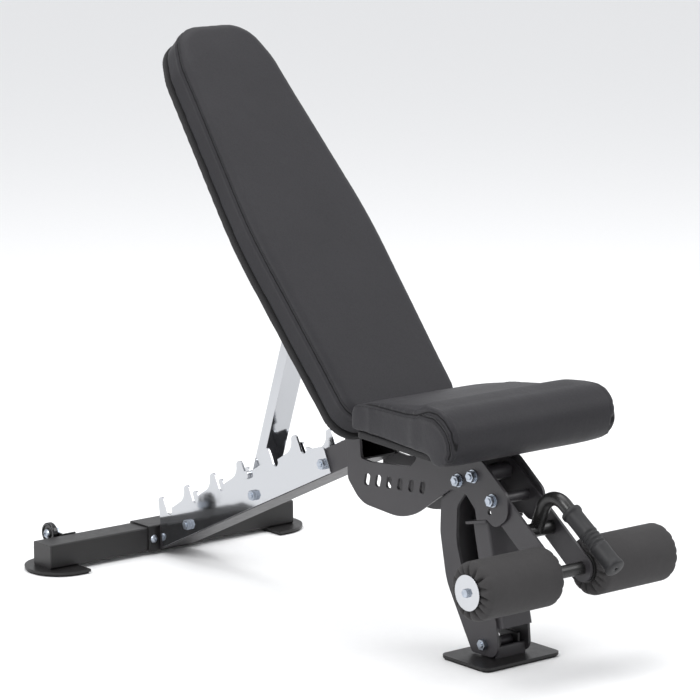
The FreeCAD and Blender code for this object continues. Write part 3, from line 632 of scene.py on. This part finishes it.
def ring_of(node, turn, at):
    """The ordered outline of a node at one height, as x, y points."""
    mesh = bmesh.new()
    mesh.from_mesh(nodes[node].data)
    bmesh.ops.remove_doubles(mesh, verts=mesh.verts, dist=0.00002)
    bmesh.ops.transform(mesh, matrix=turn, verts=mesh.verts)
    bmesh.ops.bisect_plane(mesh, geom=mesh.verts[:] + mesh.edges[:] + mesh.faces[:], dist=0.00001,
                           plane_co=(0, 0, at), plane_no=(0, 0, 1), clear_inner=True, clear_outer=True)
    bmesh.ops.remove_doubles(mesh, verts=mesh.verts, dist=0.0001)
    vert = mesh.verts[:][0]
    edge = vert.link_edges[0]
    line = []
    while not line or vert != first:
        if not line:
            first = vert
        line.append((vert.co.x, vert.co.y))
        vert = edge.other_vert(vert)
        edge = next(e for e in vert.link_edges if e != edge)
    mesh.free()
    return np.array(line)


def resampled(line, step, closed=True):
    """The same line with even steps, and the length run at each point."""
    if closed:
        line = np.vstack([line, line[:1]])
    leg = np.linalg.norm(np.diff(line, axis=0), axis=1)
    run = np.concatenate([[0], np.cumsum(leg)])
    at = np.linspace(0, run[-1], int(run[-1] / step) + 1)
    return np.stack([np.interp(at, run, line[:, k]) for k in range(line.shape[1])], axis=1), at


def nearest(points, line, run):
    """For every point: distance to a line, the length run there, and which side it lies on."""
    best = np.full(len(points), 1e9)
    where = np.zeros(len(points))
    side = np.zeros(len(points))
    for k in range(len(line) - 1):
        leg = line[k + 1] - line[k]
        long = np.dot(leg, leg)
        if long < 1e-14:
            continue
        t = np.clip(((points - line[k]) @ leg) / long, 0, 1)
        gap = points - (line[k] + t[:, None] * leg)
        d = np.hypot(gap[:, 0], gap[:, 1])
        closer = d < best
        best[closer] = d[closer]
        where[closer] = run[k] + t[closer] * (run[k + 1] - run[k])
        side[closer] = (leg[0] * gap[:, 1] - leg[1] * gap[:, 0])[closer]
    return best, where, side


# %% [markdown]
# ## Sewn vinyl
# The seam finish reads two numbers kept on the mesh: how far a point is from the seam, and how far along
# the seam it lies. The first darkens the crease with painted shade and places the stitch row, the second cuts
# the row into single stitches.

# %% Sewn vinyl finish
def sewn_vinyl(name, colour):
    """Grained vinyl with painted shade in the seam crease and one row of stitches along its seam."""
    finish, pebbles, plain, rough, slack = vinyl_skin(name, colour)
    seam = finish.add("ShaderNodeAttribute", {"attribute_name": "seam"}).out("Fac")
    run = finish.add("ShaderNodeAttribute", {"attribute_name": "run"}).out("Fac")
    away = seam.math("ABSOLUTE")
    crease = 1 - away.band(0.0004, 0.0018)
    row = 1 - (seam - 0.0050).math("ABSOLUTE").band(0.0003, 0.0009)
    dash = ((run * 210).math("FRACT") - 0.5).math("ABSOLUTE")
    stitch = row * (1 - dash.band(0.30, 0.38))
    pull = row * dash.band(0.36, 0.46)
    # Painted shade: the vinyl in the seam crease is darkened to a quarter of its colour.
    with_painted_crease_shade = finish.mixed(crease, plain, shade(colour, 0.25))
    finish.set("Base Color", finish.mixed(stitch, with_painted_crease_shade, shade(colour, 0.55)))
    finish.set("Roughness", rough + crease * 0.2 + 0.46)
    pressed = finish.bump(stitch * 0.5 - pull * 0.5 - crease, 0.0009, slack)
    finish.set("Normal", finish.bump(1 - pebbles, 0.00020, pressed))
    return finish.material


seam_vinyl = sewn_vinyl("seam_vinyl", (0.0225, 0.0217, 0.0245))
print("sewn finish:", seam_vinyl.name)

# %% [markdown]
# ## Back cushion
# The face panel wraps over the rounded edge, and a side strip runs from there down to the board. The
# seam between them is the line that the eye follows, so it is set first: 13 mm under the face.

# %% Back cushion
BOARD_TOP = 0.0453
PAD_TOP = 0.1043
SEAM_HEIGHT = 0.0910
back_cushion = from_ring("back_pad", "back_cushion", standing, 0.075, BOARD_TOP, PAD_TOP, 0.005, 0.017)
swell(back_cushion, 0.0055)
outline, outline_run = resampled(ring_of("back_pad", standing, 0.075), 0.006)
spots = points_of(back_cushion)
inset, along, _ = nearest(spots[:, :2], outline, outline_run)
centred = np.clip(inset / 0.11, 0, 1)
spots[:, 2] = np.where(spots[:, 2] > 0.07, spots[:, 2] + 0.0025 * np.sin(centred * math.pi / 2), spots[:, 2])
spots[:, 2] = np.maximum(spots[:, 2], BOARD_TOP + 0.0002)
set_points(back_cushion, spots)
refined(back_cushion)
spots = points_of(back_cushion)
ways = normals_of(back_cushion)
inset, along, _ = nearest(spots[:, :2], outline, outline_run)
beside = np.where(inset < 0.016, spots[:, 2] - SEAM_HEIGHT, 0.05)
pucker = 0.0003 * np.sin(along * 2 * math.pi / 0.021) * np.exp(-(beside / 0.006) ** 2)
spots += ways * (groove(beside, 0.0022, 0.0020, 0.0009) + pucker)[:, None]
set_points(back_cushion, spots)
padded_cushion(back_cushion, "back_pad", "backrest", beside, along, lying)
print("back cushion:", len(back_cushion.data.vertices), "points")

# %% [markdown]
# ## Seat cushion
# The seat is one long pad that ends in a roll at the front, wider there than at the back. Its vinyl has
# a side panel: the seam runs forward under the top edge, dips, and then loops round the end of the roll
# as a double line. The pad is remeshed, rubbed soft along its edges, and swollen like the back cushion.

# %% Seat cushion
rear_x = sum(corner[0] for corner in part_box("rear_cross_tube")) / 2
seat_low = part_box("seat_pad")[0]
seat_cushion = merged_copy("seat_pad", "seat_cushion")
swell(seat_cushion, 0.0048, rubs=8)


def swept(places):
    """Lets the seat grow wider in one smooth sweep, and gives its top a low crown."""
    bench_x = places[:, 0] - rear_x
    packed = np.interp(bench_x, [0.734, 0.794, 0.948, 1.06], [0.147, 0.149, 0.184, 0.184])
    wanted = np.interp(bench_x, [0.734, 0.780, 0.830, 0.880, 0.930, 0.975, 1.020, 1.06],
                       [0.150, 0.152, 0.157, 0.165, 0.174, 0.181, 0.185, 0.186])
    places[:, 1] *= wanted / packed
    softened = eased(seat_cushion, places.copy(), 25)
    near_bend = np.exp(-((bench_x - 0.945) / 0.030) ** 2) * (np.abs(places[:, 1]) > 0.14)
    places[:, 1] += (softened[:, 1] - places[:, 1]) * near_bend
    window = np.clip((bench_x - 0.75) / 0.09, 0, 1) * np.clip((1.00 - bench_x) / 0.07, 0, 1)
    top = np.clip((places[:, 2] - 0.405) / 0.02, 0, 1)
    places[:, 2] += 0.007 * window * top * np.clip((0.175 - np.abs(places[:, 1])) / 0.03, 0, 1)
    return places


def settle_seat(places):
    """Flat where the pad lies on its board, clear of the steel below the roll."""
    on_board = places[:, 0] < rear_x + 0.979
    floor_z = np.where(on_board, 0.3785, 0.3643)
    places[:, 2] = np.maximum(places[:, 2], floor_z)
    places[:, 0] = np.maximum(places[:, 0], seat_low[0] - 0.002)
    return places


set_points(seat_cushion, settle_seat(swept(points_of(seat_cushion))))
refined(seat_cushion)
set_points(seat_cushion, eased(seat_cushion, points_of(seat_cushion), 3))
spots = points_of(seat_cushion)
ways = normals_of(seat_cushion)
shelves = np.round((spots[:, 0] - seat_low[0]) / 0.006).astype(int)
shelves -= shelves.min()
width_at = np.zeros(shelves.max() + 1)
np.maximum.at(width_at, shelves, np.abs(spots[:, 1]))
half_here = np.interp(spots[:, 0], (np.arange(len(width_at)) * 0.006) + spots[:, 0].min(), width_at)
OUTER_SEAM = [(739, 425), (770, 429), (806, 432), (856, 434), (908, 437), (945, 442), (967, 450), (984, 455),
              (1008, 455), (1028, 447), (1045, 431), (1051, 409), (1050, 390), (1043, 378)]
INNER_SEAM = [(956, 444), (973, 445), (999, 446), (1019, 438), (1033, 427), (1042, 411), (1043, 394), (1037, 384)]
beside = np.full(len(spots), 0.05)
along = np.zeros(len(spots))
for line in (OUTER_SEAM, INNER_SEAM):
    path, run = resampled(np.array([(rear_x + x / 1000, z / 1000) for x, z in line]), 0.004, closed=False)
    gap, where, side = nearest(spots[:, [0, 2]], path, run)
    signed = np.where(side > 0, -gap, gap)
    closer = (gap < np.abs(beside)) & (half_here - np.abs(spots[:, 1]) < 0.011)
    beside[closer] = signed[closer]
    along[closer] = where[closer]
spots += ways * groove(beside, 0.0022, 0.0018, 0.0010)[:, None]
set_points(seat_cushion, settle_seat(spots))
padded_cushion(seat_cushion, "seat_pad", "seat", beside, along)
print("seat cushion:", len(seat_cushion.data.vertices), "points")

# %% [markdown]
# ## Boards wrapped in cloth
# Under each cushion is a plywood board wrapped in thin cloth. Where the cloth turns the edge it gathers
# in slanting pleats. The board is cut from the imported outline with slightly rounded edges, and the
# pleats are a slanted wave that is strongest on the edge itself.

# %% Boards
def wrapped_board(node, name, turn, back_turn, low, high, body):
    """A cloth-wrapped board with pleats round its edge."""
    board = from_ring(node, name, turn, (low + high) / 2, low, high, 0.0022, 0.0022)
    dense = board.modifiers.new("even", "REMESH")
    dense.mode = "VOXEL"
    dense.voxel_size = 0.0024
    bake_modifiers(board)
    spots = points_of(board)
    ways = normals_of(board)
    line, run = resampled(ring_of(node, turn, (low + high) / 2), 0.006)
    inset, along, _ = nearest(spots[:, :2], line, run)
    edge = np.exp(-(inset / 0.004) ** 2)
    patch = 0.5 + 0.5 * np.sin(along * 2 * math.pi / 0.31) * np.sin(along * 2 * math.pi / 0.173 + 1.0)
    pleat = np.sin((along + 2.4 * (spots[:, 2] - low)) * 2 * math.pi / 0.0105)
    spots -= ways * (0.00045 * edge * patch * (1 + pleat))[:, None]
    set_points(board, spots)
    board.data.transform(back_turn)
    board.data.materials.append(cloth)
    board.data.shade_smooth()
    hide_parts(node)
    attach(board, body)
    print(name, len(board.data.polygons), "faces")


wrapped_board("back_board", "back_board_wrap", standing, lying, 0.033, 0.045, "backrest")
seat_board_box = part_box("seat_board")
wrapped_board("seat_board", "seat_board_wrap", Matrix(), Matrix(), seat_board_box[0][2], seat_board_box[1][2], "seat")

# %% [markdown]
# ## Foam rollers
# Each roller is a thick foam sleeve in a fabric-like skin that is gathered at both ends, so short
# folds fan out round the end disc. The sleeve is a profile spun round its axle. The folds come
# afterwards: on the end faces, narrow valleys are pushed in towards the middle, sixteen round each end.

# %% Rollers
def spun(profile, steps, cap_ends=False):
    """Spins a list of (radius, height) points round Z into a closed skin."""
    mesh = bmesh.new()
    verts = [mesh.verts.new((radius, 0, height)) for radius, height in profile]
    edges = [mesh.edges.new((verts[k], verts[k + 1])) for k in range(len(verts) - 1)]
    if not cap_ends:
        edges.append(mesh.edges.new((verts[-1], verts[0])))
    bmesh.ops.spin(mesh, geom=verts + edges, cent=(0, 0, 0), axis=(0, 0, 1), angle=2 * math.pi, steps=steps,
                   use_merge=True)
    bmesh.ops.remove_doubles(mesh, verts=mesh.verts, dist=0.00001)
    bmesh.ops.recalc_face_normals(mesh, faces=mesh.faces)
    return mesh


def finished(mesh, name, place, material, body, replaced=()):
    """Turns a bmesh into a placed, dressed and riding piece."""
    bmesh.ops.transform(mesh, matrix=place, verts=mesh.verts)
    data = bpy.data.meshes.new(name)
    mesh.to_mesh(data)
    mesh.free()
    piece = bpy.data.objects.new(name, data)
    bpy.context.scene.collection.objects.link(piece)
    data.materials.append(material)
    piece.data.shade_smooth()
    if replaced:
        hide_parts(*replaced)
    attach(piece, body)
    return piece


def arc_points(centre_r, centre_h, radius, start, end, count):
    """Points of an arc in the (radius, height) plane; angles in degrees."""
    return [(centre_r + radius * math.cos(math.radians(start + (end - start) * k / count)),
             centre_h + radius * math.sin(math.radians(start + (end - start) * k / count)))
            for k in range(count + 1)]


roller_low, roller_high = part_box("foam_roller_near")
axle_x = (roller_low[0] + roller_high[0]) / 2
axle_z = (roller_low[2] + roller_high[2]) / 2
ROLLER_R = (roller_high[0] - roller_low[0]) / 2
ROLLER_HALF = (roller_high[1] - roller_low[1]) / 2
CORE_R = 0.0151
FOLDS = 16
shoulder = 0.013
top_side = [(CORE_R + (ROLLER_R - shoulder - CORE_R) * k / 12, ROLLER_HALF) for k in range(12)]
shoulder_arc = arc_points(ROLLER_R - shoulder, ROLLER_HALF - shoulder, shoulder, 90, 0, 8)
barrel = [(ROLLER_R, (ROLLER_HALF - shoulder) * (1 - k / 12)) for k in range(1, 24)]
upper = top_side + shoulder_arc
roller_profile = upper + barrel + [(r, -h) for r, h in reversed(upper)]
for word in ("near", "far"):
    low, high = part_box("foam_roller_" + word)
    sleeve = spun(roller_profile, 192)
    for vert in sleeve.verts:
        radius = math.hypot(vert.co.x, vert.co.y)
        turn = math.atan2(vert.co.y, vert.co.x)
        end = 1 if vert.co.z > 0 else -1
        wander = 0.35 * math.sin(3 * turn + end) + 0.22 * math.sin(5 * turn + 2 * end)
        phase = FOLDS * turn / 2 + wander + 0.9 * (radius - 0.03) / 0.02 * math.sin(2 * turn + end)
        valley = (1 - abs(math.sin(phase))) ** 2.2
        ridge = abs(math.sin(phase)) ** 1.5
        depth_in = ROLLER_HALF - abs(vert.co.z)
        zone = math.exp(-(depth_in / 0.008) ** 2) * min(1, max(0, (radius - 0.024) / 0.008))
        zone *= min(1, max(0.25, (0.0475 - radius) / 0.008))
        uneven = 0.75 + 0.25 * math.sin(7 * turn + 1.7)
        vert.co.z -= end * zone * uneven * (0.0085 * valley - 0.0022 * ridge)
        shrink = 1 - 0.016 * valley * math.exp(-(depth_in / 0.014) ** 2) * (radius / ROLLER_R) ** 2
        vert.co.x *= shrink
        vert.co.y *= shrink
    place = Matrix.Translation((axle_x, (low[1] + high[1]) / 2, axle_z)) @ Matrix.Rotation(math.radians(90), 4, "X")
    roller = finished(sleeve, "roller_sleeve_" + word, place, foam, "roller_" + word, ("foam_roller_" + word,))
    print(roller.name, len(roller.data.polygons), "faces")

# %% [markdown]
# ## Grip
# The rubber grip is pushed over the handle tube: a collar at the top, a smooth part, four soft rings to
# hold the fingers, and a flared end with a small vent hole.

# %% Grip
GRIP_END = Vector((rear_x + 1.247, 0, 0.213))
GRIP_WAY = Vector((0.826, 0, -0.563)).normalized()
GRIP_LONG = 0.126
RING_RADIUS = 0.01545
RING_WAVE = 0.00105
RING_START = 0.0462
rings = [(RING_RADIUS + RING_WAVE * math.cos(step * math.pi / 4), RING_START + 0.0010 * step) for step in range(33)]
grip_profile = ([(0, 0.108), (0.0121, 0.108), (0.0121, -0.0066), (0.0165, -0.0068), (0.0178, -0.0060), (0.0181, -0.0045),
                 (0.0181, -0.0008), (0.0176, 0.0008), (0.0163, 0.0022), (0.0158, 0.0050), (0.0156, 0.0200),
                 (0.0158, 0.0420)] + rings +
                [(0.0160, 0.0830), (0.0158, 0.0950), (0.0159, 0.1080), (0.0163, 0.1150), (0.0172, 0.1185),
                 (0.0174, 0.1220), (0.0170, 0.1248), (0.0155, 0.1262), (0.0060, 0.1266), (0.0030, 0.1262),
                 (0.0025, 0.1252), (0.0025, 0.1120), (0, 0.1115)])
grip_mesh = spun(grip_profile, 64, cap_ends=True)
grip_turn = GRIP_WAY.to_track_quat("Z", "Y").to_matrix().to_4x4()
grip_place = Matrix.Translation(GRIP_END - GRIP_WAY * GRIP_LONG) @ grip_turn
grip = finished(grip_mesh, "ribbed_grip", grip_place, grip_rubber, "frame", ("handle_grip",))
print("grip:", len(grip.data.polygons), "faces")
